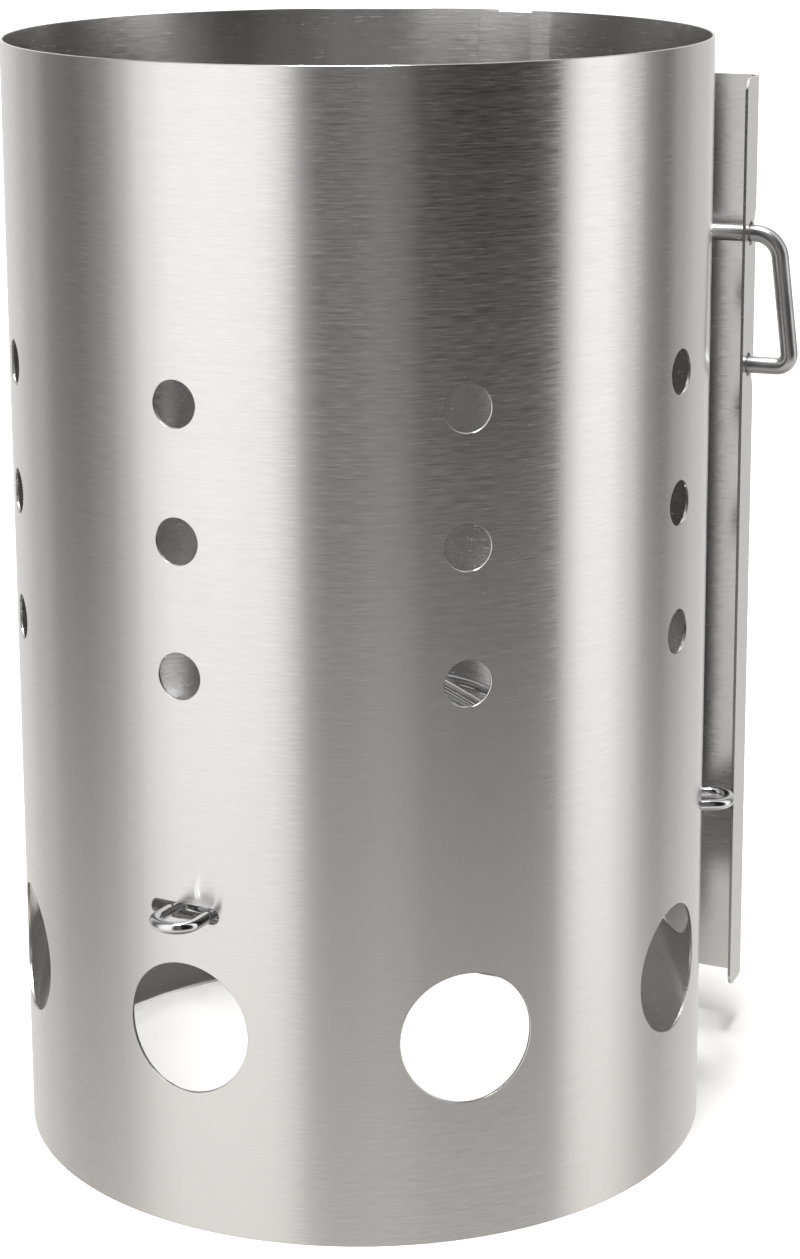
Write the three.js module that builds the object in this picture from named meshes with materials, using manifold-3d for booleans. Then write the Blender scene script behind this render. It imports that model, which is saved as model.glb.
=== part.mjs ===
// Chimney charcoal starter: a rolled stainless wall with air holes, whose own end runs on flat as
// a hand shield, a bent rod handle through the shield's flange, and a welded wire cone grate.
// Millimetres, +Z up. Azimuths are degrees from the front (-Y) towards the right (+X).
import * as THREE from 'three';
import { mergeVertices } from 'three/addons/utils/BufferGeometryUtils.js';
import Module from 'manifold-3d';

const wasm = await Module();
wasm.setup();

// Wall
const HEIGHT = 304.8;
const RADIUS = 95.5;
const SHEET = 0.8;
const SMALLEST_GAP = 0.3;
const ARC_STEP = 3;
const BEND_STEPS = 6;
const HALF_SIDES = { small: 8, large: 14, slot: 5, rod: 10 };
const HOLE_FROM = RADIUS - 9;
const HOLE_TO = RADIUS + 3;
const CUT_PAST = 3;

// Air holes: seven columns, each with three small holes above one large one
const COLUMNS = 7;
const COLUMN_PITCH = 45;
const LAST_COLUMN = 106;
const SMALL_HOLE = 12.2;
const SMALL_HOLE_HEIGHTS = [150.7, 185.7, 220.7];
const LARGE_HOLE = 35.2;
const LARGE_HOLE_HEIGHT = 56;

// Lap seam: the wall's first end steps inwards and lies inside its last end
const LAP_END = 157.6;
const STEP_START = 147.2;
const STEP_END = 143.4;
const LAP_LOWERED = 0.6;
const LAP_LOWERED_LENGTH = 17.5;
const LAP_CUT_DEPTH = 9;
const LAP_CORNER = 3.5;

// Hand shield: the wall's last end, straight on from its tangent point, with a bent flange
const TANGENT_AZIMUTH = 154;
const SHIELD_LENGTH = 81.3;
const SHIELD_BOTTOM = 15.5;
const SHIELD_TOP = 288.5;
const BEND_RADIUS = 2;
const BEND_ANGLE = 85;
const FLANGE_WIDTH = 14.5;
const FLANGE_CORNER = 4;

// Handle rod: its legs pass the flange and its grip stands outside
const ROD = 5;
const ROD_HOLE = 7;
const ROD_SIDES = 10;
const ROD_STEPS = 44;
const ROD_FROM_BEND = 7.5;
const UPPER_LEG_HEIGHT = 243.8;
const LOWER_LEG_HEIGHT = 205.4;
const UPPER_LEG_TAIL = 27;
const LOWER_LEG_TAIL = 1.6;
const GRIP_TOP_REACH = 8.3;
const GRIP_BOTTOM_REACH = 12.9;
const UPPER_BEND = 7.5;
const LOWER_BEND = 3.6;

// Grate: three hairpin supports through slots in the wall, under a cone of rings
const WIRE = 3.2;
const WIRE_SIDES = 8;
const WIRE_STEPS = 58;
const SLOT_HEIGHT = 87.8;
const SLOT_LENGTH = 20.3;
const SLOT_WIDTH = 4.2;
const FIRST_SLOT = -29;
const HAIRPINS = [
  { azimuth: FIRST_SLOT, shift: 1.6, reach: 12.6 },
  { azimuth: FIRST_SLOT + 120, shift: -0.6, reach: 10.2 },
  { azimuth: FIRST_SLOT + 240, shift: 0.6, reach: 11.4 },
];
const HAIRPIN_GAUGE = 11.2;
const HAIRPIN_INNER_END = 14;
const HAIRPIN_KNEE = 8;
const HAIRPIN_END_BEND = 5.4;
const CONE_FOOT = 77;
const CONE_SLOPE = 31.6;
const CONE_RINGS = [64, 42, 20];
const BASE_RING = 86;

const rad = THREE.MathUtils.degToRad;
const outward = (azimuth) => new THREE.Vector2(Math.sin(rad(azimuth)), -Math.cos(rad(azimuth)));

function finish(color, roughness) {
  return new THREE.MeshStandardMaterial({ color, roughness, metalness: 1 });
}

function toSolid(geometry) {
  const bare = geometry.clone();
  bare.deleteAttribute('normal');
  bare.deleteAttribute('uv');
  const merged = mergeVertices(bare, 1e-4);
  const mesh = new wasm.Mesh({
    numProp: 3,
    vertProperties: merged.attributes.position.array,
    triVerts: new Uint32Array(merged.index.array),
  });
  return new wasm.Manifold(mesh);
}

function toGeometry(solid) {
  const mesh = solid.getMesh();
  const geometry = new THREE.BufferGeometry();
  geometry.setAttribute('position', new THREE.BufferAttribute(mesh.vertProperties, 3));
  geometry.setIndex(new THREE.BufferAttribute(mesh.triVerts, 1));
  geometry.computeVertexNormals();
  return geometry;
}

// A flat outline (x sideways, y up) made a prism that points outwards between two radii.
function radialPrism(shape, azimuth, height, inner, outer, curveSegments) {
  const prism = new THREE.ExtrudeGeometry(shape, {
    depth: outer - inner, bevelEnabled: false, curveSegments,
  });
  const out = outward(azimuth);
  const place = new THREE.Matrix4().makeBasis(
    new THREE.Vector3(-out.y, out.x, 0),
    new THREE.Vector3(0, 0, 1),
    new THREE.Vector3(out.x, out.y, 0),
  );
  place.setPosition(out.x * inner, out.y * inner, height);
  prism.applyMatrix4(place);
  return toSolid(prism);
}

function circle(diameter) {
  return new THREE.Shape().absarc(0, 0, diameter / 2, 0, 2 * Math.PI);
}

function stadium(length, width) {
  const straight = (length - width) / 2;
  const shape = new THREE.Shape();
  shape.absarc(straight, 0, width / 2, -Math.PI / 2, Math.PI / 2);
  shape.absarc(-straight, 0, width / 2, Math.PI / 2, 3 * Math.PI / 2);
  return shape;
}

// What is left outside a rounded corner at the origin; the sheet lies towards (sideX, sideY).
function cornerOffcut(radius, sideX, sideY) {
  const past = 1;
  const shape = new THREE.Shape();
  shape.moveTo(-sideX * past, -sideY * past);
  shape.lineTo(sideX * radius, -sideY * past);
  shape.lineTo(sideX * radius, 0);
  for (let i = 1; i <= BEND_STEPS; i += 1) {
    const angle = i / BEND_STEPS * Math.PI / 2;
    const x = radius * (1 - Math.sin(angle));
    const y = radius * (1 - Math.cos(angle));
    shape.lineTo(sideX * x, sideY * y);
  }
  shape.lineTo(-sideX * past, sideY * radius);
  return shape;
}

// The sheet's middle line in plan, from the lapped end round to the flange's free edge.
const middle = RADIUS - SHEET / 2;
const lapRadius = middle - SHEET - SMALLEST_GAP;
const shieldAlong = outward(TANGENT_AZIMUTH - 90);
const shieldTangent = outward(TANGENT_AZIMUTH).multiplyScalar(middle);
const foldPoint = shieldTangent.clone().addScaledVector(shieldAlong, SHIELD_LENGTH);
const flangeAlong = shieldAlong.clone().rotateAround(new THREE.Vector2(), -rad(BEND_ANGLE));
const flangeOut = new THREE.Vector2(-flangeAlong.y, flangeAlong.x);
const flangeAzimuth = 90 + THREE.MathUtils.radToDeg(Math.atan2(flangeOut.y, flangeOut.x));

function sheetMiddleLine() {
  const points = [];
  const arc = (from, to, radiusAt) => {
    const steps = Math.ceil(Math.abs(to - from) / ARC_STEP);
    for (let i = 0; i <= steps; i += 1) {
      const t = i / steps;
      const azimuth = from + (to - from) * t;
      points.push(outward(azimuth).multiplyScalar(radiusAt(t)));
    }
  };
  arc(LAP_END, STEP_START, () => lapRadius);
  for (let i = 1; i < BEND_STEPS; i += 1) {
    const t = i / BEND_STEPS;
    const rise = THREE.MathUtils.smoothstep(t, 0, 1);
    const azimuth = THREE.MathUtils.lerp(STEP_START, STEP_END, t);
    points.push(outward(azimuth).multiplyScalar(THREE.MathUtils.lerp(lapRadius, middle, rise)));
  }
  arc(STEP_END, TANGENT_AZIMUTH - 360, () => middle);
  const setback = BEND_RADIUS * Math.tan(rad(BEND_ANGLE / 2));
  const bendStart = foldPoint.clone().addScaledVector(shieldAlong, -setback);
  const bendCentre = bendStart.clone()
    .add(new THREE.Vector2(shieldAlong.y, -shieldAlong.x).multiplyScalar(BEND_RADIUS));
  for (let i = 0; i <= BEND_STEPS; i += 1) {
    points.push(bendStart.clone().rotateAround(bendCentre, -rad(BEND_ANGLE * i / BEND_STEPS)));
  }
  points.push(foldPoint.clone().addScaledVector(flangeAlong, FLANGE_WIDTH));
  return points;
}

function sheetOutline(points) {
  const left = [];
  const right = [];
  points.forEach((point, i) => {
    const before = points[Math.max(i - 1, 0)];
    const after = points[Math.min(i + 1, points.length - 1)];
    const along = after.clone().sub(before).normalize();
    const side = new THREE.Vector2(-along.y, along.x);
    left.push(point.clone().addScaledVector(side, SHEET / 2));
    right.push(point.clone().addScaledVector(side, -SHEET / 2));
  });
  return new THREE.Shape([...left, ...right.reverse()]);
}

// A block that runs along the shield: from and to along it, near and far from the wall's axis.
function shieldBlock(from, to, near, far, bottom, top) {
  const block = new THREE.BoxGeometry(to - from, far - near, top - bottom);
  block.translate((from + to) / 2, (near + far) / 2, (bottom + top) / 2);
  const out = outward(TANGENT_AZIMUTH);
  const place = new THREE.Matrix4().makeBasis(
    new THREE.Vector3(shieldAlong.x, shieldAlong.y, 0),
    new THREE.Vector3(out.x, out.y, 0),
    new THREE.Vector3(0, 0, 1),
  );
  block.applyMatrix4(place);
  return toSolid(block);
}

function cutAirHoles(sheet) {
  let cut = sheet;
  for (let column = 0; column < COLUMNS; column += 1) {
    const azimuth = LAST_COLUMN - column * COLUMN_PITCH;
    for (const height of SMALL_HOLE_HEIGHTS) {
      cut = cut.subtract(
        radialPrism(circle(SMALL_HOLE), azimuth, height, HOLE_FROM, HOLE_TO, HALF_SIDES.small));
    }
    cut = cut.subtract(
      radialPrism(circle(LARGE_HOLE), azimuth, LARGE_HOLE_HEIGHT, HOLE_FROM, HOLE_TO, HALF_SIDES.large));
  }
  for (const { azimuth } of HAIRPINS) {
    cut = cut.subtract(radialPrism(
      stadium(SLOT_LENGTH, SLOT_WIDTH), azimuth, SLOT_HEIGHT, HOLE_FROM, HOLE_TO, HALF_SIDES.slot));
  }
  return cut;
}

// The shield stops short of the wall's rim and foot, and its free corners are rounded.
function trimShield(sheet) {
  const near = middle - SHEET / 2 - SMALLEST_GAP / 2;
  const flangeNear = middle - FLANGE_WIDTH - CUT_PAST;
  const far = RADIUS + CUT_PAST;
  const flangeFrom = SHIELD_LENGTH - BEND_RADIUS - CUT_PAST;
  const beyond = SHIELD_LENGTH + CUT_PAST;
  const bands = [[-CUT_PAST, SHIELD_BOTTOM], [SHIELD_TOP, HEIGHT + CUT_PAST]];
  let cut = sheet;
  for (const [bottom, top] of bands) {
    cut = cut.subtract(shieldBlock(0, beyond, near, far, bottom, top));
    cut = cut.subtract(shieldBlock(flangeFrom, beyond, flangeNear, far, bottom, top));
  }
  const freeEdge = foldPoint.clone().addScaledVector(flangeAlong, FLANGE_WIDTH);
  const alongFlange = outward(flangeAzimuth + 90);
  const sideways = freeEdge.dot(alongFlange);
  const distance = freeEdge.dot(flangeOut);
  const inwards = Math.sign(foldPoint.dot(alongFlange) - sideways);
  for (const [height, up] of [[SHIELD_BOTTOM, 1], [SHIELD_TOP, -1]]) {
    const offcut = cornerOffcut(FLANGE_CORNER, inwards, up);
    const cutter = radialPrism(
      offcut, flangeAzimuth, height, distance - CUT_PAST, distance + CUT_PAST, BEND_STEPS);
    cut = cut.subtract(cutter.translate(alongFlange.x * sideways, alongFlange.y * sideways, 0));
  }
  return cut;
}

// The lapped end is a little lower than the rim at both ends, with rounded free corners.
function trimLap(sheet) {
  const outer = lapRadius + SHEET / 2 + SMALLEST_GAP / 2;
  const inner = outer - LAP_CUT_DEPTH;
  const sideways = -1;
  let cut = sheet;
  for (const [height, up] of [[0, 1], [HEIGHT, -1]]) {
    const strip = new THREE.Shape();
    strip.moveTo(-sideways * CUT_PAST, -up);
    strip.lineTo(sideways * LAP_LOWERED_LENGTH, -up);
    strip.lineTo(sideways * LAP_LOWERED_LENGTH, up * LAP_LOWERED);
    strip.lineTo(-sideways * CUT_PAST, up * LAP_LOWERED);
    cut = cut.subtract(radialPrism(strip, LAP_END, height, inner, outer, BEND_STEPS));
    const offcut = cornerOffcut(LAP_CORNER, sideways, up);
    const lowered = height + up * LAP_LOWERED;
    cut = cut.subtract(radialPrism(offcut, LAP_END, lowered, outer - CUT_PAST, outer, BEND_STEPS));
  }
  return cut;
}

// Where a leg of the handle crosses the flange, in plan.
const rodCrossing = foldPoint.clone().addScaledVector(flangeAlong, ROD_FROM_BEND);

function cutRodHoles(sheet) {
  const distance = rodCrossing.dot(flangeOut);
  const side = outward(flangeAzimuth + 90);
  const sideways = rodCrossing.dot(side);
  const hole = circle(ROD_HOLE);
  let cut = sheet;
  for (const height of [UPPER_LEG_HEIGHT, LOWER_LEG_HEIGHT]) {
    const cutter = radialPrism(
      hole, flangeAzimuth, height, distance - CUT_PAST, distance + CUT_PAST, HALF_SIDES.rod);
    cut = cut.subtract(cutter.translate(side.x * sideways, side.y * sideways, 0));
  }
  return cut;
}

function wallSheet() {
  const blank = new THREE.ExtrudeGeometry(sheetOutline(sheetMiddleLine()), {
    depth: HEIGHT, bevelEnabled: false,
  });
  let sheet = cutAirHoles(toSolid(blank));
  sheet = trimShield(sheet);
  sheet = trimLap(sheet);
  sheet = cutRodHoles(sheet);
  return toGeometry(sheet);
}

// A path of straight runs whose inner corners are rounded to the given radii.
function roundedPath(corners, radii) {
  const path = new THREE.CurvePath();
  let from = corners[0];
  for (let i = 1; i < corners.length - 1; i += 1) {
    const corner = corners[i];
    const back = corners[i - 1].clone().sub(corner).normalize();
    const ahead = corners[i + 1].clone().sub(corner).normalize();
    const setback = radii[i - 1] / Math.tan(back.angleTo(ahead) / 2);
    const start = corner.clone().addScaledVector(back, setback);
    const end = corner.clone().addScaledVector(ahead, setback);
    path.add(new THREE.LineCurve3(from, start));
    path.add(new THREE.QuadraticBezierCurve3(start, corner, end));
    from = end;
  }
  path.add(new THREE.LineCurve3(from, corners[corners.length - 1]));
  return path;
}

function bentRod(path, diameter, sides, steps) {
  const section = new THREE.Shape();
  for (let i = 0; i < sides; i += 1) {
    const angle = i / sides * 2 * Math.PI;
    const x = diameter / 2 * Math.cos(angle);
    const y = diameter / 2 * Math.sin(angle);
    if (i === 0) section.moveTo(x, y);
    else section.lineTo(x, y);
  }
  return new THREE.ExtrudeGeometry(section, { steps, extrudePath: path, bevelEnabled: false });
}

function handleRod() {
  const at = (reach, height) => new THREE.Vector3(
    rodCrossing.x + flangeOut.x * reach, rodCrossing.y + flangeOut.y * reach, height);
  const corners = [
    at(-UPPER_LEG_TAIL, UPPER_LEG_HEIGHT),
    at(GRIP_TOP_REACH, UPPER_LEG_HEIGHT),
    at(GRIP_BOTTOM_REACH, LOWER_LEG_HEIGHT),
    at(-LOWER_LEG_TAIL, LOWER_LEG_HEIGHT),
  ];
  return bentRod(roundedPath(corners, [UPPER_BEND, LOWER_BEND]), ROD, ROD_SIDES, ROD_STEPS);
}

// A hairpin lies flat through its slot, then both legs climb under the cone's rings.
function hairpin({ azimuth, shift, reach }) {
  const out = outward(azimuth);
  const side = new THREE.Vector2(-out.y, out.x);
  const slope = Math.tan(rad(CONE_SLOPE));
  const innerHeight = SLOT_HEIGHT + (CONE_FOOT - HAIRPIN_INNER_END) * slope;
  const at = (radius, sideways, height) => new THREE.Vector3(
    out.x * radius + side.x * sideways, out.y * radius + side.y * sideways, height);
  const tip = RADIUS + reach - WIRE / 2;
  const half = HAIRPIN_GAUGE / 2;
  const leg = (sign) => [
    at(HAIRPIN_INNER_END, shift + sign * half, innerHeight),
    at(CONE_FOOT, shift + sign * half, SLOT_HEIGHT),
    at(tip, shift + sign * half, SLOT_HEIGHT),
  ];
  const corners = [...leg(-1), ...leg(1).reverse()];
  const radii = [HAIRPIN_KNEE, HAIRPIN_END_BEND, HAIRPIN_END_BEND, HAIRPIN_KNEE];
  return bentRod(roundedPath(corners, radii), WIRE, WIRE_SIDES, WIRE_STEPS);
}

function ring(radius, height) {
  const segments = Math.round(14 + radius * 0.3);
  const torus = new THREE.TorusGeometry(radius, WIRE / 2, WIRE_SIDES, segments);
  torus.translate(0, 0, height);
  return torus;
}

const starter = new THREE.Group();

function add(name, geometry, material) {
  const mesh = new THREE.Mesh(geometry, material);
  mesh.name = name;
  starter.add(mesh);
}

add('wall_sheet', wallSheet(), finish(0xb8b9bb, 0.32));
add('handle_rod', handleRod(), finish(0x9b9d9f, 0.2));

HAIRPINS.forEach((spec, i) => {
  add(`grate_support_${i + 1}`, hairpin(spec), finish(0xc9cbcd, 0.15));
});

// A cone ring rests on the legs where the outermost leg passes under it.
const contact = WIRE + SMALLEST_GAP;
const widestLeg = HAIRPIN_GAUGE / 2 + Math.max(...HAIRPINS.map(({ shift }) => Math.abs(shift)));

function ringHeight(radius) {
  const crossing = Math.sqrt(radius ** 2 - widestLeg ** 2);
  const legHeight = SLOT_HEIGHT + (CONE_FOOT - crossing) * Math.tan(rad(CONE_SLOPE));
  return legHeight + contact / Math.cos(rad(CONE_SLOPE));
}

add('grate_base_ring', ring(BASE_RING, SLOT_HEIGHT - contact), finish(0xc9cbcd, 0.15));
CONE_RINGS.forEach((radius, i) => {
  add(`grate_cone_ring_${i + 1}`, ring(radius, ringHeight(radius)), finish(0xc9cbcd, 0.15));
});

// The origin is the bottom centre of the whole object's box.
const reach = new THREE.Box3().setFromObject(starter, true);
starter.position.set(-(reach.min.x + reach.max.x) / 2, -(reach.min.y + reach.max.y) / 2, 0);

export default starter;
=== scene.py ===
"""Looks of a stainless steel chimney charcoal starter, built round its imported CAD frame.

The wall, its lapped seam, the hand shield and the flange are one brushed sheet, so they are made as
the real one is: a flat blank with its holes punched, then rolled. The handle and the grate are rods
swept along bent paths, and the grate's welds are small nuggets where its wires cross.
"""
import logging
import math
from dataclasses import dataclass, field
from enum import Enum

import bpy
import numpy as np
from mathutils import Matrix, Vector
from mathutils.geometry import delaunay_2d_cdt


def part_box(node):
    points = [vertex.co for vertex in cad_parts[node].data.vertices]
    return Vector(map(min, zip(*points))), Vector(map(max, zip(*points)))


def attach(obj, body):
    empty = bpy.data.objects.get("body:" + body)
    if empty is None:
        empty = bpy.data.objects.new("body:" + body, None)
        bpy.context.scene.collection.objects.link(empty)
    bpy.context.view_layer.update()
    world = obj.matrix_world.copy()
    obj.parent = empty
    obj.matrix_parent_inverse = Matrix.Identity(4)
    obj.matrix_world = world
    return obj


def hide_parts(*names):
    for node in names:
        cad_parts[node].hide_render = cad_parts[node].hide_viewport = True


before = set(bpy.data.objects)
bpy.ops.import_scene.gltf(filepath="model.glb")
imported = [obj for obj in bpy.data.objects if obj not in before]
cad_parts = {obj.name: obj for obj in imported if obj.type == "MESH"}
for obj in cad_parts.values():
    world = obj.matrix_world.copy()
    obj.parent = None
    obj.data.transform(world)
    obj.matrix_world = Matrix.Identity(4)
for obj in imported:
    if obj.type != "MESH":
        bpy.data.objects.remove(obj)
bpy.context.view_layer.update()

MM = 0.001
BODY = "root"
UV_NAME = "surface_mm"
MIRROR_BOUNCES = 12
CORNER_POINTS = 7
SMALLEST_ARC = 5
SAME_POINT = 1e-6
Z_AXIS = np.array([0.0, 0.0, 1.0])

log = logging.getLogger("starter")


# ---- helpers


class Slot(Enum):
    """The record's material slots."""

    SHEET = "brushed_stainless_sheet"
    HANDLE = "polished_steel_rod"
    GRATE = "bright_grate_wire"


def linear(hex_colour: str) -> tuple[float, float, float, float]:
    """Turns an sRGB hex colour into linear light.

    Args:
        hex_colour: Six hex digits, such as "cfcdca".

    Returns:
        Red, green, blue and an alpha of one.
    """
    levels = np.array([int(hex_colour[i:i + 2], 16) / 255 for i in (0, 2, 4)])
    light = np.where(levels <= 0.04045, levels / 12.92, ((levels + 0.055) / 1.055) ** 2.4)
    return (*light.tolist(), 1.0)


def outward(azimuth: float | np.ndarray) -> np.ndarray:
    """Unit vector in plan at an azimuth in degrees, from the front (-Y) towards the right (+X)."""
    angle = np.radians(azimuth)
    return np.stack([np.sin(angle), -np.cos(angle)], -1)


def unit(vectors: np.ndarray) -> np.ndarray:
    """Each row brought to a length of one."""
    return vectors / np.linalg.norm(vectors, axis=-1, keepdims=True)


def with_height(plan: np.ndarray, height: float | np.ndarray) -> np.ndarray:
    """Rows of x and y with a z added."""
    return np.concatenate([plan, np.broadcast_to(height, plan.shape[:-1])[..., None]], -1)


@dataclass
class Surface:
    """A mesh as plain arrays, in millimetres from the cylinder's axis at the foot.

    Each entry of `faces` holds faces with one number of corners, and the entries of `uvs` and
    `normals` hold a row for each corner of the faces, in the same order.
    """

    vertices: np.ndarray
    faces: list[np.ndarray]
    uvs: list[np.ndarray]
    normals: list[np.ndarray] = field(default_factory=list)


@dataclass(frozen=True)
class Frame:
    """The frame's own measures, in millimetres."""

    axis: np.ndarray
    height: float

    @classmethod
    def measured(cls) -> "Frame":
        """Reads the cylinder's axis from the round base ring and the height from the wall."""
        low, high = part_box("grate_base_ring")
        axis = (np.array(low) + np.array(high)) / 2 / MM
        return cls(np.array([axis[0], axis[1]]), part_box("wall_sheet")[1].z / MM)

    def to_row(self, points: np.ndarray) -> np.ndarray:
        """Points from the cylinder's axis, in millimetres, as row points in metres."""
        return (points + np.array([*self.axis, 0.0])) * MM


def add_piece(name: str, surface: Surface, place: Frame, finish: bpy.types.Material,
              stands_for: tuple[str, ...] = ()) -> bpy.types.Object:
    """Puts a surface into the scene as one finished piece that rides on the root body.

    Args:
        name: The piece's name.
        surface: Its mesh.
        place: The measured frame, which gives it its place.
        finish: Its material.
        stands_for: CAD nodes that it is shown instead of.

    Returns:
        The piece.
    """
    mesh = bpy.data.meshes.new(name)
    faces = [face for block in surface.faces for face in block.tolist()]
    mesh.from_pydata(place.to_row(surface.vertices).tolist(), [], faces)
    mesh.polygons.foreach_set("use_smooth", np.ones(len(faces), bool))
    layer = mesh.uv_layers.new(name=UV_NAME)
    layer.data.foreach_set("uv", np.concatenate(surface.uvs).astype(np.float32).ravel())
    if surface.normals:
        mesh.normals_split_custom_set(np.concatenate(surface.normals).tolist())
    mesh.materials.append(finish)
    piece = bpy.data.objects.new(name, mesh)
    bpy.context.scene.collection.objects.link(piece)
    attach(piece, BODY)
    if stands_for:
        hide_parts(*stands_for)
    log.info("%s: %d faces, stands for %s", name, len(faces), ", ".join(stands_for) or "nothing")
    return piece


# ---- finishes


def add_node(tree: bpy.types.NodeTree, kind: str, inputs: dict | None = None,
             **settings: object) -> bpy.types.Node:
    """Adds one node.

    Args:
        tree: The node tree.
        kind: The node's type name.
        inputs: For each input, by name or place, a value or the output socket that feeds it.
        settings: The node's own properties.

    Returns:
        The node.
    """
    node = tree.nodes.new(kind)
    for name, value in settings.items():
        setattr(node, name, value)
    for key, value in (inputs or {}).items():
        if isinstance(value, bpy.types.NodeSocket):
            tree.links.new(value, node.inputs[key])
        else:
            node.inputs[key].default_value = value
    return node


def new_material(name: str) -> tuple[bpy.types.Material, bpy.types.NodeTree]:
    """An empty node material and its tree."""
    material = bpy.data.materials.new(name)
    material.use_nodes = True
    material.node_tree.nodes.clear()
    return material, material.node_tree


def spread(tree: bpy.types.NodeTree, value: bpy.types.NodeSocket, low: float,
           high: float) -> bpy.types.NodeSocket:
    """Stretches a noise, which stays near a half, over the range from low to high."""
    ranged = add_node(tree, "ShaderNodeMapRange", {
        "Value": value, "From Min": 0.3, "From Max": 0.7, "To Min": low, "To Max": high})
    return ranged.outputs["Result"]


@dataclass(frozen=True)
class Pattern:
    """Noise whose patches have a real size on a surface's own UV map.

    Attributes:
        along: Patch length along U, in millimetres.
        across: Patch width along V, in millimetres.
        detail: How many finer layers the noise has.
        seed: A shift that makes one pattern differ from the next.
    """

    along: float
    across: float
    detail: float
    seed: float

    def add(self, tree: bpy.types.NodeTree) -> bpy.types.NodeSocket:
        """Adds the noise to a material and returns its output."""
        coordinates = add_node(tree, "ShaderNodeUVMap", uv_map=UV_NAME)
        mapping = add_node(tree, "ShaderNodeMapping", {
            "Vector": coordinates.outputs["UV"], "Location": (self.seed, self.seed * 1.7, 0.0),
            "Scale": (1 / self.along, 1 / self.across, 1.0)})
        noise = add_node(tree, "ShaderNodeTexNoise", {
            "Vector": mapping.outputs["Vector"], "Scale": 1.0, "Detail": self.detail,
            "Roughness": 0.55}, noise_dimensions="2D")
        return noise.outputs["Fac"]


def two_tone(tree: bpy.types.NodeTree, share: bpy.types.NodeSocket, dark: str,
             light: str) -> bpy.types.NodeSocket:
    """A colour between two hex colours, by a noise stretched to its full range."""
    mix = add_node(tree, "ShaderNodeMix", {
        "Factor": spread(tree, share, 0.0, 1.0), "A": linear(dark), "B": linear(light)},
        data_type="RGBA")
    return mix.outputs["Result"]


@dataclass(frozen=True)
class BrushedStainless:
    """Stainless 430 sheet, belt brushed along its length before it was cut and rolled.

    The brushing runs round the wall, so each highlight is drawn out up and down into a band with
    crisp sides. Each scratch is rougher or smoother than the next and tilts the surface a little
    its own way, so fine level lines cross the bands and make their sides ragged. Rolling leaves
    shallow upright flats, which bend the bands.

    Attributes:
        light, dark: Its colour along smooth and rough scratches, which are nearly the same.
        roughness, roughness_change: The mean, and how far a scratch strays from it.
        streak_share: How much of the pattern is long streaks instead of fine grain.
        grain_tilt: How far a scratch tilts the normal, as a share of a normal map's range.
        flat_depth: The depth of the flats, in millimetres.
    """

    light: str = "d7d6d5"
    dark: str = "d5d4d3"
    roughness: float = 0.226
    roughness_change: float = 0.052
    anisotropy: float = 0.82
    streak_share: float = 0.3
    grain_tilt: float = 0.005
    flat_depth: float = 0.012
    grain: Pattern = Pattern(6.0, 0.4, 3.0, 3.1)
    streaks: Pattern = Pattern(110.0, 1.1, 4.0, 11.7)
    flats: Pattern = Pattern(17.0, 420.0, 1.0, 5.3)

    def build(self) -> bpy.types.Material:
        """Makes the material.

        The real grain is near 0.1 mm wide. It is drawn four times as wide, or it would not show.
        """
        material, tree = new_material("brushed_stainless_430")
        grain = self.grain.add(tree)
        mixed = add_node(tree, "ShaderNodeMix", {
            "Factor": self.streak_share, "A": grain, "B": self.streaks.add(tree)},
            data_type="FLOAT").outputs["Result"]
        change = self.roughness_change
        rough = spread(tree, mixed, self.roughness + change, self.roughness - change)
        lean = spread(tree, grain, 0.5 - self.grain_tilt / 2, 0.5 + self.grain_tilt / 2)
        tilt = add_node(tree, "ShaderNodeCombineColor", {"Red": lean, "Green": 0.5, "Blue": 1.0})
        scratched = add_node(tree, "ShaderNodeNormalMap", {"Color": tilt.outputs["Color"]},
                             uv_map=UV_NAME)
        rolled = add_node(tree, "ShaderNodeBump", {
            "Strength": 1.0, "Distance": self.flat_depth * MM, "Height": self.flats.add(tree),
            "Normal": scratched.outputs["Normal"]})
        tangent = add_node(tree, "ShaderNodeTangent", direction_type="UV_MAP", uv_map=UV_NAME)
        shader = add_node(tree, "ShaderNodeBsdfPrincipled", {
            "Base Color": two_tone(tree, mixed, self.dark, self.light), "Metallic": 1.0,
            "Roughness": rough, "Anisotropic": self.anisotropy, "Anisotropic Rotation": 0.25,
            "Tangent": tangent.outputs["Tangent"], "Normal": rolled.outputs["Normal"]})
        add_node(tree, "ShaderNodeOutputMaterial", {"Surface": shader.outputs["BSDF"]})
        return material


@dataclass(frozen=True)
class DrawnRod:
    """Round steel rod or wire, drawn through a die and polished or plated.

    Drawing leaves faint lines along the length, and the finish gives narrow bright and dark bands.
    """

    name: str
    light: str
    dark: str
    roughness: float
    smoothest: float = 0.75
    roughest: float = 1.3
    line_depth: float = 0.01
    lines: Pattern = Pattern(30.0, 0.5, 2.0, 7.9)
    clouds: Pattern = Pattern(9.0, 5.0, 3.0, 2.3)

    def build(self) -> bpy.types.Material:
        """Makes the material."""
        material, tree = new_material(self.name)
        lines = self.lines.add(tree)
        rough = spread(tree, lines, self.roughness * self.smoothest,
                       self.roughness * self.roughest)
        bump = add_node(tree, "ShaderNodeBump", {
            "Strength": 0.4, "Distance": self.line_depth * MM, "Height": lines})
        colour = two_tone(tree, self.clouds.add(tree), self.dark, self.light)
        shader = add_node(tree, "ShaderNodeBsdfPrincipled", {
            "Base Color": colour, "Metallic": 1.0, "Roughness": rough,
            "Normal": bump.outputs["Normal"]})
        add_node(tree, "ShaderNodeOutputMaterial", {"Surface": shader.outputs["BSDF"]})
        return material


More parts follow.
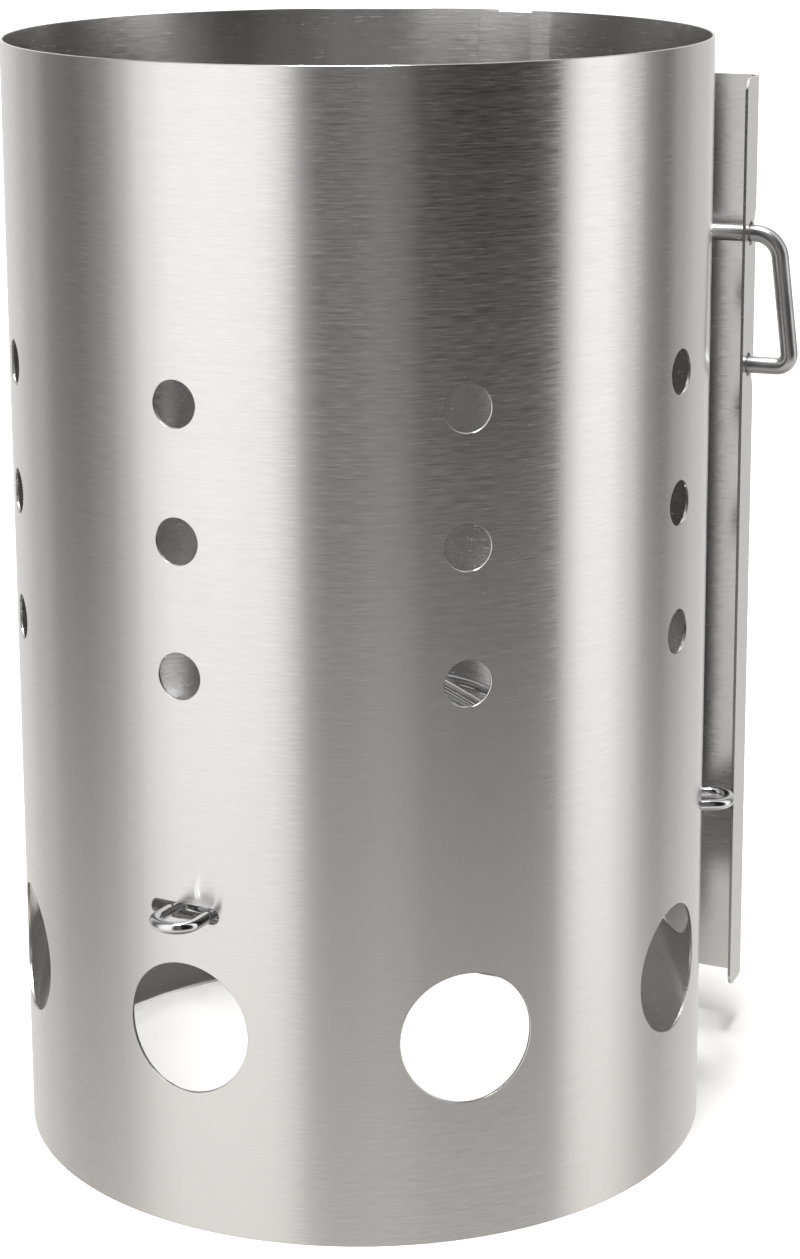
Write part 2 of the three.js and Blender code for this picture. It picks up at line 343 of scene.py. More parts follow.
@dataclass(frozen=True)
class WeldNugget:
    """A resistance weld on bright wire: squeezed, dull, and tinted straw by its heat."""

    centre: str = "8f8a84"
    edge: str = "b5a58c"
    roughness: float = 0.38
    speck: float = 1.1
    depth: float = 0.08

    def build(self) -> bpy.types.Material:
        """Makes the material."""
        material, tree = new_material("resistance_weld")
        place = add_node(tree, "ShaderNodeTexCoord").outputs["Object"]
        noise = add_node(tree, "ShaderNodeTexNoise", {
            "Vector": place, "Scale": 1 / (self.speck * MM), "Detail": 3.0, "Roughness": 0.6})
        bump = add_node(tree, "ShaderNodeBump", {
            "Strength": 0.6, "Distance": self.depth * MM, "Height": noise.outputs["Fac"]})
        colour = two_tone(tree, noise.outputs["Fac"], self.centre, self.edge)
        shader = add_node(tree, "ShaderNodeBsdfPrincipled", {
            "Base Color": colour, "Metallic": 1.0, "Roughness": self.roughness,
            "Normal": bump.outputs["Normal"]})
        add_node(tree, "ShaderNodeOutputMaterial", {"Surface": shader.outputs["BSDF"]})
        return material


# ---- the sheet


@dataclass(frozen=True)
class Outline:
    """A closed edge of the blank: points and the outward direction of the metal at each."""

    points: np.ndarray
    outward: np.ndarray

    def drawn_back(self, amount: float) -> np.ndarray:
        """The edge moved into the metal by that amount."""
        return self.points - amount * self.outward


def round_hole(centre: tuple[float, float], diameter: float, count: int) -> Outline:
    """A punched hole: the circle's points, with the metal's outward direction at its centre."""
    angle = -np.linspace(0, 2 * np.pi, count, endpoint=False)
    ray = np.stack([np.cos(angle), np.sin(angle)], -1)
    return Outline(np.array(centre) + diameter / 2 * ray, -ray)


def slot_hole(centre: tuple[float, float], length: float, width: float, count: int) -> Outline:
    """A level slot with round ends: half circles about two centres, moved apart by the straight."""
    angle = -np.linspace(-np.pi / 2, 1.5 * np.pi, count, endpoint=False)
    ray = np.stack([np.cos(angle), np.sin(angle)], -1)
    right = angle > -np.pi / 2 + SAME_POINT
    middle = np.stack([np.where(right, 1.0, -1.0) * (length - width) / 2, 0 * angle], -1)
    return Outline(np.array(centre) + middle + width / 2 * ray, -ray)


def rounded_outline(corners: np.ndarray, radii: np.ndarray, step: float) -> Outline:
    """An outline with straight runs and round corners.

    Each corner is an arc tangent to its two sides: its centre is the corner plus the radius along
    both sides, and its points turn evenly from one side's outward direction to the other's.

    Args:
        corners: Corner points, anticlockwise, with square corners only.
        radii: Each corner's radius.
        step: The longest straight run between two points.

    Returns:
        The outline.
    """
    before, after = np.roll(corners, 1, 0), np.roll(corners, -1, 0)
    back, ahead = unit(before - corners), unit(after - corners)
    centres = corners + radii[:, None] * (back + ahead)
    enter = np.stack([-back[:, 1], back[:, 0]], -1)
    leave = np.stack([ahead[:, 1], -ahead[:, 0]], -1)
    share = np.linspace(0, np.pi / 2, CORNER_POINTS)[None, :, None]
    rays = np.cos(share) * enter[:, None] + np.sin(share) * leave[:, None]
    convex = np.sum(enter * ahead, -1) < 0
    sign = np.where(convex, 1.0, -1.0)[:, None, None]
    arcs = centres[:, None] + sign * radii[:, None, None] * rays
    points, normals = [], []
    for i in range(len(corners)):
        start, end = arcs[i, -1], arcs[(i + 1) % len(corners), 0]
        count = max(1, math.ceil(np.linalg.norm(end - start) / step))
        along = (np.arange(1, count) / count)[:, None]
        points += [arcs[i], start + along * (end - start)]
        normals += [rays[i], np.repeat(leave[i:i + 1], count - 1, 0)]
    return Outline(np.concatenate(points), np.concatenate(normals))


@dataclass
class WallSheet:
    """The one sheet that makes the lapped seam, the wall, the hand shield and its flange.

    Sizes are in millimetres and azimuths in degrees. `u` runs along the sheet's middle line from
    the lapped end to the flange's free edge, and `z` up.
    """

    place: Frame
    radius: float = 95.5
    thickness: float = 0.8
    lap_gap: float = 0.3
    lap_end: float = 157.6
    step_start: float = 147.2
    step_end: float = 143.4
    lap_lowered: float = 0.6
    lap_length: float = 17.5
    lap_corner: float = 3.5
    tangent_azimuth: float = 154.0
    shield_length: float = 81.3
    shield_bottom: float = 15.5
    shield_top: float = 288.5
    bend_radius: float = 2.0
    bend_angle: float = 85.0
    flange_width: float = 14.5
    flange_corner: float = 4.0
    column_pitch: float = 45.0
    last_column: float = 106.0
    columns: int = 7
    small_hole: float = 12.2
    small_hole_heights: tuple[float, ...] = (150.7, 185.7, 220.7)
    large_hole: float = 35.2
    large_hole_height: float = 56.0
    slot_azimuths: tuple[float, ...] = (-29.0, 91.0, 211.0)
    slot_length: float = 20.3
    slot_width: float = 4.2
    slot_height: float = 87.8
    rod_hole: float = 7.0
    rod_from_bend: float = 7.5
    rod_heights: tuple[float, ...] = (243.8, 205.4)
    edge_break: float = 0.12
    square_corner: float = 0.25
    line_step: float = 0.04
    column_step: float = 2.4
    row_step: float = 9.0
    clear_margin: float = 0.9
    small_points: int = 56
    large_points: int = 120
    slot_points: int = 48

    def __post_init__(self) -> None:
        """Works out the middle line, the lengths along it and the shield's directions."""
        self.middle = self.radius - self.thickness / 2
        self.lap_radius = self.middle - self.thickness - self.lap_gap
        self.setback = self.bend_radius * math.tan(math.radians(self.bend_angle / 2))
        self.shield_along = outward(self.tangent_azimuth - 90)
        self.shield_out = outward(self.tangent_azimuth)
        turn = math.radians(-self.bend_angle)
        spin = np.array([[math.cos(turn), -math.sin(turn)], [math.sin(turn), math.cos(turn)]])
        self.flange_along = spin @ self.shield_along
        self.flange_out = spin @ self.shield_out
        self.fold = self.middle * self.shield_out + self.shield_length * self.shield_along
        self._trace()

    def _trace(self) -> None:
        """Samples the middle line densely, as six stretches laid end to end.

        The lap is an arc one sheet inside the wall, the step rises between them by the smooth
        curve 3t^2 - 2t^3, the wall is an arc, the shield and the flange are straight, and the bend
        between them is an arc of the bend radius.
        """
        def arc(start: float, end: float, low: float, high: float) -> np.ndarray:
            """Points between two azimuths, their radius easing from low to high."""
            count = max(8, int(math.radians(abs(end - start)) * self.radius
                               / self.line_step))
            t = np.linspace(0, 1, count, endpoint=False)
            radius = low + (high - low) * t * t * (3 - 2 * t)
            return radius[:, None] * outward(start + (end - start) * t)

        bend_start = self.fold - self.setback * self.shield_along
        centre = bend_start - self.bend_radius * self.shield_out
        straight = np.linspace(0, 1, 400, endpoint=False)[:, None]
        angle = np.radians(np.linspace(0, self.bend_angle, 200, endpoint=False))[:, None]
        bend = centre + self.bend_radius * (
            np.cos(angle) * self.shield_out + np.sin(angle) * self.shield_along)
        tangent = self.middle * self.shield_out
        bend_end = self.fold + self.setback * self.flange_along
        flange_end = self.fold + self.flange_width * self.flange_along
        parts = [
            arc(self.lap_end, self.step_start, self.lap_radius, self.lap_radius),
            arc(self.step_start, self.step_end, self.lap_radius, self.middle),
            arc(self.step_end, self.tangent_azimuth - 360, self.middle, self.middle),
            tangent + straight * (bend_start - tangent),
            bend,
            bend_end + np.linspace(0, 1, 100)[:, None] * (flange_end - bend_end),
        ]
        line = np.concatenate(parts)
        lengths = np.concatenate([[0.0], np.cumsum(np.linalg.norm(np.diff(line, axis=0), axis=1))])
        starts = lengths[np.cumsum([0] + [len(part) for part in parts[:-1]])]
        self.lap_to, self.wall_from, self.shield_from = starts[1:4]
        self.bend_from, self.flange_from = starts[4:6]
        self.end = lengths[-1]
        ahead = unit(np.gradient(line, lengths, axis=0))
        self._line = (lengths, line, np.stack([-ahead[:, 1], ahead[:, 0]], -1))

    def rolled(self, flat: np.ndarray, lift: float | np.ndarray) -> tuple[np.ndarray, np.ndarray]:
        """Rolls points of the flat blank into their place.

        A point goes to the middle line at its own u, moved by `lift` along the line's outward
        normal, at its own height.

        Args:
            flat: Rows of u and z.
            lift: Distance from the sheet's middle, outwards.

        Returns:
            The points and the outward normals there.
        """
        lengths, line, side = self._line
        at = [np.interp(flat[:, 0], lengths, values) for values in (*line.T, *side.T)]
        plan, normal = np.stack(at[:2], -1), unit(np.stack(at[2:], -1))
        points = plan + np.broadcast_to(lift, len(flat))[:, None] * normal
        return with_height(points, flat[:, 1]), with_height(normal, 0.0)

    def along(self, azimuth: float) -> float:
        """The u of an azimuth on the wall."""
        turned = (self.step_end - azimuth) % 360
        return self.wall_from + math.radians(turned) * self.middle

    def outer_edge(self) -> Outline:
        """The blank's cut edge: foot, shield, flange, rim and lap, anticlockwise."""
        top, low, high = self.place.height, self.lap_lowered, self.place.height - self.lap_lowered
        lap, small = self.lap_length, self.square_corner
        rows = [
            (0, low, self.lap_corner), (lap, low, small), (lap, 0, small),
            (self.shield_from, 0, small), (self.shield_from, self.shield_bottom, small),
            (self.end, self.shield_bottom, self.flange_corner),
            (self.end, self.shield_top, self.flange_corner),
            (self.shield_from, self.shield_top, small), (self.shield_from, top, small),
            (lap, top, small), (lap, high, small), (0, high, self.lap_corner),
        ]
        table = np.array(rows, float)
        return rounded_outline(table[:, :2], table[:, 2], self.column_step)

    def holes(self) -> list[tuple[Outline, tuple[float, float], float, float]]:
        """Every hole: its edge, its centre, its radius and half of its straight part."""
        found = []
        for column in range(self.columns):
            u = self.along(self.last_column - column * self.column_pitch)
            spots = [(height, self.small_hole, self.small_points)
                     for height in self.small_hole_heights]
            spots.append((self.large_hole_height, self.large_hole, self.large_points))
            for height, diameter, count in spots:
                edge = round_hole((u, height), diameter, count)
                found.append((edge, (u, height), diameter / 2, 0.0))
        straight = (self.slot_length - self.slot_width) / 2
        for azimuth in self.slot_azimuths:
            at = (self.along(azimuth), self.slot_height)
            edge = slot_hole(at, self.slot_length, self.slot_width, self.slot_points)
            found.append((edge, at, self.slot_width / 2, straight))
        for height in self.rod_heights:
            at = (self.flange_from + self.rod_from_bend - self.setback, height)
            edge = round_hole(at, self.rod_hole, self.slot_points)
            found.append((edge, at, self.rod_hole / 2, 0.0))
        return found

    def clear_of_edges(self, flat: np.ndarray, margin: float) -> np.ndarray:
        """Which points of the blank lie at least a margin inside it and away from every hole.

        The blank is the union of two upright rectangles, the wall's and the shield's. A hole is
        all that lies within its radius of a level line.
        """
        u, z = flat.T
        low = np.where(u > self.lap_length + margin, 0.0, self.lap_lowered) + margin
        wall = (u > margin) & (u < self.shield_from - margin)
        wall &= (z > low) & (z < self.place.height - low)
        shield = (u > self.shield_from - margin) & (u < self.end - margin)
        shield &= (z > self.shield_bottom + margin) & (z < self.shield_top - margin)
        inside = wall | shield
        for _, (hole_u, hole_z), radius, straight in self.holes():
            level = np.maximum(np.abs(u - hole_u) - straight, 0)
            inside &= np.hypot(level, z - hole_z) > radius + margin
        return inside

    def grid(self) -> np.ndarray:
        """Points inside the blank, in upright columns that are closer where the sheet bends."""
        count = math.ceil(self.shield_from / self.column_step)
        columns = np.unique(np.concatenate([
            np.linspace(0, self.shield_from, count),
            np.linspace(self.lap_to, self.wall_from, 9),
            np.linspace(self.shield_from, self.bend_from, 9),
            np.linspace(self.bend_from, self.flange_from, 10),
            [(self.flange_from + self.end) / 2],
        ]).round(4))
        rows = np.linspace(0, self.place.height, math.ceil(self.place.height / self.row_step) + 1)
        points = np.stack(np.meshgrid(columns, rows, indexing="ij"), -1).reshape(-1, 2)
        return points[self.clear_of_edges(points, self.clear_margin)]

    def surface(self) -> Surface:
        """The sheet as a closed mesh with broken edges.

        One flat triangulation serves both faces. Each cut edge has four rings: the two faces'
        edges, drawn back by the edge break, and the cut itself between them.
        """
        edges = [self.outer_edge()] + [hole[0] for hole in self.holes()]
        inner = self.grid()
        rings = [edge.drawn_back(self.edge_break) for edge in edges]
        flat = np.concatenate(rings + [inner])
        starts = np.cumsum([0] + [len(ring) for ring in rings])
        loops = [np.arange(a, b) for a, b in zip(starts[:-1], starts[1:])]
        shapes = [loops[0].tolist()] + [loop[::-1].tolist() for loop in loops[1:]]
        only_inside = 1
        made = delaunay_2d_cdt([Vector(point) for point in flat.tolist()], [], shapes,
                               only_inside, SAME_POINT)
        if len(made[0]) != len(flat):
            raise RuntimeError(f"the blank's edges touch: {len(flat)} points, {len(made[0])} made")
        in_no_hole = [owners == [0] for owners in made[5]]
        triangles = np.array(made[2])[in_no_hole]
        half = self.thickness / 2
        outside, out_normal = self.rolled(flat, half)
        inside, _ = self.rolled(flat, -half)
        cut = np.concatenate([edge.points for edge in edges])
        cut_out = np.concatenate([edge.outward for edge in edges])
        upper, cut_side = self.rolled(cut, half - self.edge_break)
        lower, _ = self.rolled(cut, -half + self.edge_break)
        ahead = np.stack([cut_side[:, 1], -cut_side[:, 0], 0 * cut_side[:, 0]], -1)
        edge_normal = cut_out[:, :1] * ahead + cut_out[:, 1:] * Z_AXIS
        total, cuts = len(flat), len(cut)
        here = np.concatenate(loops)
        there = np.concatenate([np.roll(loop, -1) for loop in loops])
        levels = [
            (0, 2 * total, unit(edge_normal + cut_side)),
            (2 * total, 2 * total + cuts, edge_normal),
            (2 * total + cuts, total, unit(edge_normal - cut_side)),
        ]
        strips = [np.stack([here + a, there + a, there + b, here + b], -1) for a, b, _ in levels]
        turned = triangles[:, ::-1]
        corner_uv = np.concatenate([flat, flat, cut, cut])
        faces = [turned, triangles + total, *strips]
        normals = [out_normal[turned].reshape(-1, 3), -out_normal[triangles].reshape(-1, 3)]
        normals += [
            np.stack([n[here], n[there], n[there], n[here]], 1).reshape(-1, 3)
            for _, _, n in levels]
        return Surface(
            np.concatenate([outside, inside, upper, lower]), faces,
            [corner_uv[block].reshape(-1, 2) for block in faces], normals)

    def build(self) -> bpy.types.Object:
        """Makes the sheet and dresses it."""
        return add_piece("rolled_wall_and_shield", self.surface(), self.place,
                         BrushedStainless().build(), ("wall_sheet",))


# ---- rods and wires


def bent_path(corners: list[np.ndarray], radii: list[float], step: float) -> np.ndarray:
    """Straight runs joined by arcs.

    Each arc is tangent to both runs at radius / tan(half the corner's angle) from the corner, and
    its points turn about its centre, which lies on the bisector.

    Args:
        corners: The path's ends and corners.
        radii: A radius for each inner corner.
        step: The longest distance between two points.

    Returns:
        The path's points.
    """
    pieces, start = [], corners[0]
    for before, corner, after, radius in zip(corners, corners[1:], corners[2:], radii):
        back, ahead = unit(before - corner), unit(after - corner)
        half = math.acos(float(np.clip(back @ ahead, -1, 1))) / 2
        first = corner + back * radius / math.tan(half)
        centre = corner + unit(back + ahead) * radius / math.sin(half)
        toward, along = unit(first - centre), -back
        sweep = math.pi - 2 * half
        count = max(SMALLEST_ARC, math.ceil(radius * sweep / (step / 2)))
        turns = np.linspace(0, sweep, count)[:, None]
        run = np.linalg.norm(first - start)
        line = np.linspace(0, 1, max(2, math.ceil(run / step)), endpoint=False)[:, None]
        pieces.append(start + line * (first - start))
        arc = centre + radius * (np.cos(turns) * toward + np.sin(turns) * along)
        pieces.append(arc[:-1])
        start = arc[-1]
    run = np.linalg.norm(corners[-1] - start)
    line = np.linspace(0, 1, max(2, math.ceil(run / step)) + 1)[:, None]
    pieces.append(start + line * (corners[-1] - start))
    return np.concatenate(pieces)


def swept_rod(path: np.ndarray, across: np.ndarray, radius: float, sides: int,
              closed: bool = False, bevel_share: float = 0.16) -> Surface:
    """A round rod along a path, with broken end edges.

    A point is the path's point plus the radius times cos(a) of one side direction and sin(a) of
    the other. The side directions are `across` made square to the path, and their cross product.

    Args:
        path: The centre line.
        across: A direction that the path never runs along.
        radius: The rod's radius.
        sides: How many sides it has.
        closed: Whether the path ends where it starts.
        bevel_share: The end edges' break, as a share of the radius.

    Returns:
        The rod.
    """
    if closed:
        tangent = unit(np.roll(path, -1, 0) - np.roll(path, 1, 0))
        sizes = np.full(len(path), radius)
    else:
        bevel = radius * bevel_share
        tips = unit(path[[1, -2]] - path[[0, -1]]) * bevel
        path = np.concatenate([path[:1], path[:1] + tips[:1], path[1:-1],
                               path[-1:] + tips[1:], path[-1:]])
        tangent = unit(np.gradient(path, axis=0))
        sizes = np.full(len(path), radius)
        sizes[[0, -1]] = radius - bevel
    one = unit(across - (tangent @ across)[:, None] * tangent)
    two = np.cross(tangent, one)
    angle = np.linspace(0, 2 * np.pi, sides, endpoint=False)[None, :, None]
    ring = np.cos(angle) * one[:, None] + np.sin(angle) * two[:, None]
    vertices = (path[:, None] + sizes[:, None, None] * ring).reshape(-1, 3)
    count = len(path)
    rows = np.arange(count if closed else count - 1)
    i, j = (a.ravel() for a in np.meshgrid(rows, np.arange(sides), indexing="ij"))
    i2, j2 = (i + 1) % count, (j + 1) % sides
    quads = np.stack([i * sides + j, i * sides + j2, i2 * sides + j2, i2 * sides + j], -1)
    runs = np.linalg.norm(np.roll(path, -1, 0) - path, axis=1)
    length = np.concatenate([[0.0], np.cumsum(runs)])
    girth = 2 * np.pi * radius / sides
    uv = np.stack([
        np.stack([length[i], length[i], length[i + 1], length[i + 1]], -1),
        np.stack([j, j + 1, j + 1, j], -1) * girth], -1).reshape(-1, 2)
    if closed:
        return Surface(vertices, [quads], [uv])
    last = (count - 1) * sides
    loop, after = np.arange(sides), (np.arange(sides) + 1) % sides
    poles = len(vertices) + np.arange(2)
    caps = np.concatenate([
        np.stack([np.full(sides, poles[0]), after, loop], -1),
        np.stack([np.full(sides, poles[1]), last + loop, last + after], -1)])
    cap_uv = np.zeros((len(caps) * 3, 2))
    cap_uv[:, 1] = np.tile([0.0, girth, 0.0], len(caps))
    ends = path[[0, -1]]
    return Surface(np.concatenate([vertices, ends]), [quads, caps], [uv, cap_uv])


@dataclass
class Handle:
    """The bent rod whose legs pass through the flange and whose grip stands outside it."""

    place: Frame
    sheet: WallSheet
    diameter: float = 5.0
    upper_tail: float = 27.0
    lower_tail: float = 1.6
    top_reach: float = 8.3
    bottom_reach: float = 12.8
    upper_bend: float = 7.5
    lower_bend: float = 3.6
    path_step: float = 1.5
    sides: int = 28

    def path(self) -> np.ndarray:
        """The rod's centre line, in the upright plane that the flange's outward normal lies in."""
        sheet = self.sheet
        crossing = sheet.fold + sheet.rod_from_bend * sheet.flange_along
        upper, lower = sheet.rod_heights
        spots = [(-self.upper_tail, upper), (self.top_reach, upper),
                 (self.bottom_reach, lower), (-self.lower_tail, lower)]
        corners = [with_height(crossing + reach * sheet.flange_out, height)
                   for reach, height in spots]
        return bent_path(corners, [self.upper_bend, self.lower_bend], self.path_step)

    def build(self) -> bpy.types.Object:
        """Makes the handle and dresses it."""
        finish = DrawnRod("satin_drawn_rod", "d0d0d1", "bcbcbe", 0.31).build()
        across = with_height(self.sheet.flange_along, 0.0)
        rod = swept_rod(self.path(), across, self.diameter / 2, self.sides)
        return add_piece("bent_handle", rod, self.place, finish, ("handle_rod",))


@dataclass(frozen=True)
class Hairpin:
    """Where one grate support stands: its slot's azimuth, its sideways shift and its reach."""

    node: str
    azimuth: float
    shift: float
    reach: float


@dataclass
class Grate:
    """Three hairpins through the wall's slots, a ring below them and a cone of rings on them."""

    place: Frame
    wall_radius: float = 95.5
    wire: float = 3.2
    gap: float = 0.3
    slot_height: float = 87.8
    gauge: float = 11.2
    inner_end: float = 14.0
    cone_foot: float = 77.0
    cone_slope: float = 31.6
    base_ring: float = 86.0
    cone_rings: tuple[float, ...] = (64.0, 42.0, 20.0)
    knee_bend: float = 8.0
    tip_slack: float = 0.2
    path_step: float = 1.6
    sides: int = 20
    ring_points_per_mm: float = 3.0
    fewest_ring_points: int = 48
    weld_radius: float = 1.5
    weld_flatness: float = 0.75
    hairpins: tuple[Hairpin, ...] = (
        Hairpin("grate_support_1", -29.0, 1.6, 12.6),
        Hairpin("grate_support_2", 91.0, -0.6, 10.2),
        Hairpin("grate_support_3", 211.0, 0.6, 11.4),
    )

    def __post_init__(self) -> None:
        """Works out the slope and the spacing of crossing wires."""
        self.rise = math.tan(math.radians(self.cone_slope))
        self.contact = self.wire + self.gap

    def leg_height(self, along: float) -> float:
        """A leg's height at a distance from the axis: level outside the cone's foot."""
        return self.slot_height + max(0.0, self.cone_foot - along) * self.rise

    def at(self, pin: Hairpin, along: float, sideways: float, height: float) -> np.ndarray:
        """A point from a distance outwards, a distance sideways and a height."""
        out = outward(pin.azimuth)
        side = np.array([-out[1], out[0]])
        return with_height(out * along + side * (pin.shift + sideways), height)

    def hairpin(self, pin: Hairpin) -> Surface:
        """One support: up the cone, down to the slot, round its closed end and back."""
        half = self.gauge / 2
        tip = self.wall_radius + pin.reach - self.wire / 2
        spots = [(self.inner_end, self.leg_height(self.inner_end)),
                 (self.cone_foot, self.slot_height), (tip, self.slot_height)]
        corners = [self.at(pin, along, -half, height) for along, height in spots]
        corners += [self.at(pin, along, half, height) for along, height in spots[::-1]]
        tip_bend = half - self.tip_slack
        bends = [self.knee_bend, tip_bend, tip_bend, self.knee_bend]
        path = bent_path(corners, bends, self.path_step)
        return swept_rod(path, Z_AXIS, self.wire / 2, self.sides)

    def ring_height(self, radius: float) -> float:
        """A cone ring rests on the outermost leg that passes under it."""
        widest = self.gauge / 2 + max(abs(pin.shift) for pin in self.hairpins)
        crossing = math.sqrt(radius ** 2 - widest ** 2)
        cosine = math.cos(math.radians(self.cone_slope))
        return self.leg_height(crossing) + self.contact / cosine

    def ring(self, radius: float, height: float) -> Surface:
        """A closed ring of wire."""
        count = max(self.fewest_ring_points, int(radius * self.ring_points_per_mm))
        azimuth = np.linspace(0, 360, count, endpoint=False)
        path = with_height(radius * outward(azimuth), height)
        return swept_rod(path, Z_AXIS, self.wire / 2, self.sides, closed=True)

    def weld_spots(self) -> np.ndarray:
        """The middle of every crossing of a ring and a leg."""
        spots = []
        rings = [(self.base_ring, self.slot_height - self.contact)]
        rings += [(radius, self.ring_height(radius)) for radius in self.cone_rings]
        for pin in self.hairpins:
            for side in (-self.gauge / 2, self.gauge / 2):
                for radius, height in rings:
                    along = math.sqrt(radius ** 2 - (pin.shift + side) ** 2)
                    middle = (self.leg_height(along) + height) / 2
                    spots.append(self.at(pin, along, side, middle))
        return np.array(spots)

    def nuggets(self) -> Surface:
        """Every weld as a small bead: a sphere squeezed flat, by a share of its height."""
        around = np.linspace(0, 2 * np.pi, 12, endpoint=False)
        down = np.linspace(0, np.pi, 8)[1:-1]
        a, d = np.meshgrid(around, down)
        ball = np.stack([np.sin(d) * np.cos(a), np.sin(d) * np.sin(a), np.cos(d)], -1)
        ball = np.concatenate([ball.reshape(-1, 3), [[0, 0, 1], [0, 0, -1]]])
        ball *= self.weld_radius * np.array([1, 1, self.weld_flatness])
        rows, sides = len(down), len(around)
        i, j = (x.ravel() for x in np.meshgrid(
            np.arange(rows - 1), np.arange(sides), indexing="ij"))
        j2 = (j + 1) % sides
        quads = np.stack([i * sides + j, (i + 1) * sides + j, (i + 1) * sides + j2,
                          i * sides + j2], -1)
        loop, after, last = np.arange(sides), (np.arange(sides) + 1) % sides, (rows - 1) * sides
        caps = np.concatenate([
            np.stack([np.full(sides, rows * sides), loop, after], -1),
            np.stack([np.full(sides, rows * sides + 1), last + after, last + loop], -1)])
        spots = self.weld_spots()
        shift = (np.arange(len(spots)) * len(ball))[:, None, None]
        blocks = [(quads + shift).reshape(-1, 4), (caps + shift).reshape(-1, 3)]
        vertices = (spots[:, None] + ball).reshape(-1, 3)
        uvs = [vertices[block].reshape(-1, 3)[:, :2] for block in blocks]
        return Surface(vertices, blocks, uvs)

    def build(self) -> list[bpy.types.Object]:
        """Makes the grate's pieces and dresses them."""
        finish = DrawnRod("bright_plated_wire", "dcdde0", "cbccce", 0.1).build()
        pieces = [
            add_piece(f"hairpin_{i + 1}", self.hairpin(pin), self.place, finish,
                      (pin.node,))
            for i, pin in enumerate(self.hairpins)]
        base = self.ring(self.base_ring, self.slot_height - self.contact)
        pieces.append(add_piece("base_ring", base, self.place, finish,
                                ("grate_base_ring",)))
        for i, radius in enumerate(self.cone_rings):
            ring = self.ring(radius, self.ring_height(radius))
            pieces.append(add_piece(f"cone_ring_{i + 1}", ring, self.place, finish,
                                    (f"grate_cone_ring_{i + 1}",)))
        pieces.append(add_piece("grate_welds", self.nuggets(), self.place,
                                WeldNugget().build()))
        return pieces


# ---- the studio


@dataclass(frozen=True)
class StudioCamera:
    """The camera, in millimetres and degrees, placed from the cylinder's axis at the foot."""

    distance: float = 808.6
    height: float = 369.4
    down: float = 12.4
    turned_right: float = 0.765
    roll: float = -0.252
    lens: float = 85.63
    shift_up: float = -0.1465

    def build(self, place: Frame) -> bpy.types.Object:
        """Places the camera: it looks along +Y, turned right and down, then rolled."""
        turn, down = math.radians(self.turned_right), math.radians(self.down)
        forward = Vector((math.sin(turn) * math.cos(down), math.cos(turn) * math.cos(down),
                          -math.sin(down)))
        right = Vector((math.cos(turn), -math.sin(turn), 0.0))
        up = right.cross(forward)
        roll = math.radians(self.roll)
        side = math.cos(roll) * right + math.sin(roll) * up
        top = math.cos(roll) * up - math.sin(roll) * right
        data = bpy.data.cameras.new("studio_camera")
        data.lens, data.shift_y = self.lens, self.shift_up
        camera = bpy.data.objects.new("studio_camera", data)
        bpy.context.scene.collection.objects.link(camera)
        turned = Matrix((side, top, -forward)).transposed().to_4x4()
        spot = Vector(place.to_row(np.array([0.0, -self.distance, self.height])))
        camera.matrix_world = Matrix.Translation(spot) @ turned
        bpy.context.scene.camera = camera
        return camera


